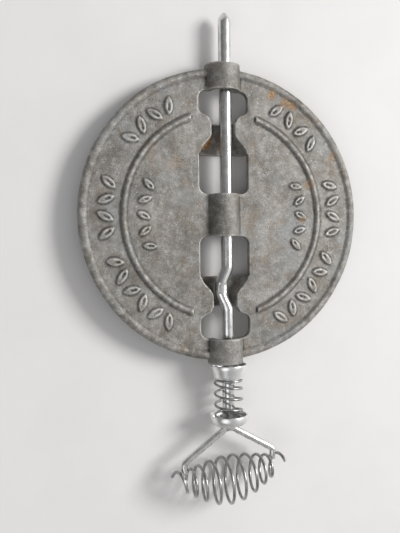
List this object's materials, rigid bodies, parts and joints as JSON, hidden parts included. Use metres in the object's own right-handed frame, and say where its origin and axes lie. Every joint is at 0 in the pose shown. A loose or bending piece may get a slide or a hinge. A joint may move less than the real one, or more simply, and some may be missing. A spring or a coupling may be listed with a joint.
{
  "type": "stove pipe damper",
  "caption": "Round cast-iron stove-pipe damper plate on a pointed steel spindle, with a spring held between cup washers and a forked, coiled-wire handle.",
  "frame": {"origin": "where the stove pipe's axis crosses the spindle's axis, at mid thickness of the plate", "axes": "+Y along the spindle to its pointed end, +Z out of the face the bridges stand on (along the pipe when the damper is shut), X across the plate"},
  "size_m": [0.146, 0.2484, 0.025],
  "materials": {
    "casting": "raw grey iron with a sandy cast skin, a little rust and pale rubbed edges",
    "spindle_rod": "dull plated rod, lightly stained",
    "yoke_wire": "dull plated wire",
    "cups": "plated pressed sheet, half bright",
    "spring_wire": "plated spring wire",
    "grip_wire": "plated spring wire"
  },
  "bodies": {
    "plate": {"damper_plate": "casting", "spring": "spring_wire"},
    "pipe_cup": {"pipe_cup_washer": "cups"},
    "handle_cup": {"handle_cup_washer": "cups"},
    "spindle": {"spindle": "spindle_rod", "yoke": "yoke_wire", "coil_grip": "grip_wire"}
  },
  "joints": [
    {"name": "pipe_cup_slide", "type": "slide", "parent": "plate", "child": "pipe_cup", "axis": [0, -1, 0], "range_m": [0, 0.006], "stiffness_N_per_m": 400, "springref_m": -0.008, "deforming": ["spring"]},
    {"name": "handle_push", "type": "slide", "parent": "plate", "child": "handle_cup", "axis": [0, 1, 0], "range_m": [0, 0.009], "stiffness_N_per_m": 400, "springref_m": -0.008, "deforming": ["spring"]},
    {"name": "handle_turn", "type": "hinge", "parent": "handle_cup", "child": "spindle", "pos_m": [0, 0, 0], "axis": [0, 1, 0], "range_deg": [0, 90]}
  ]
}
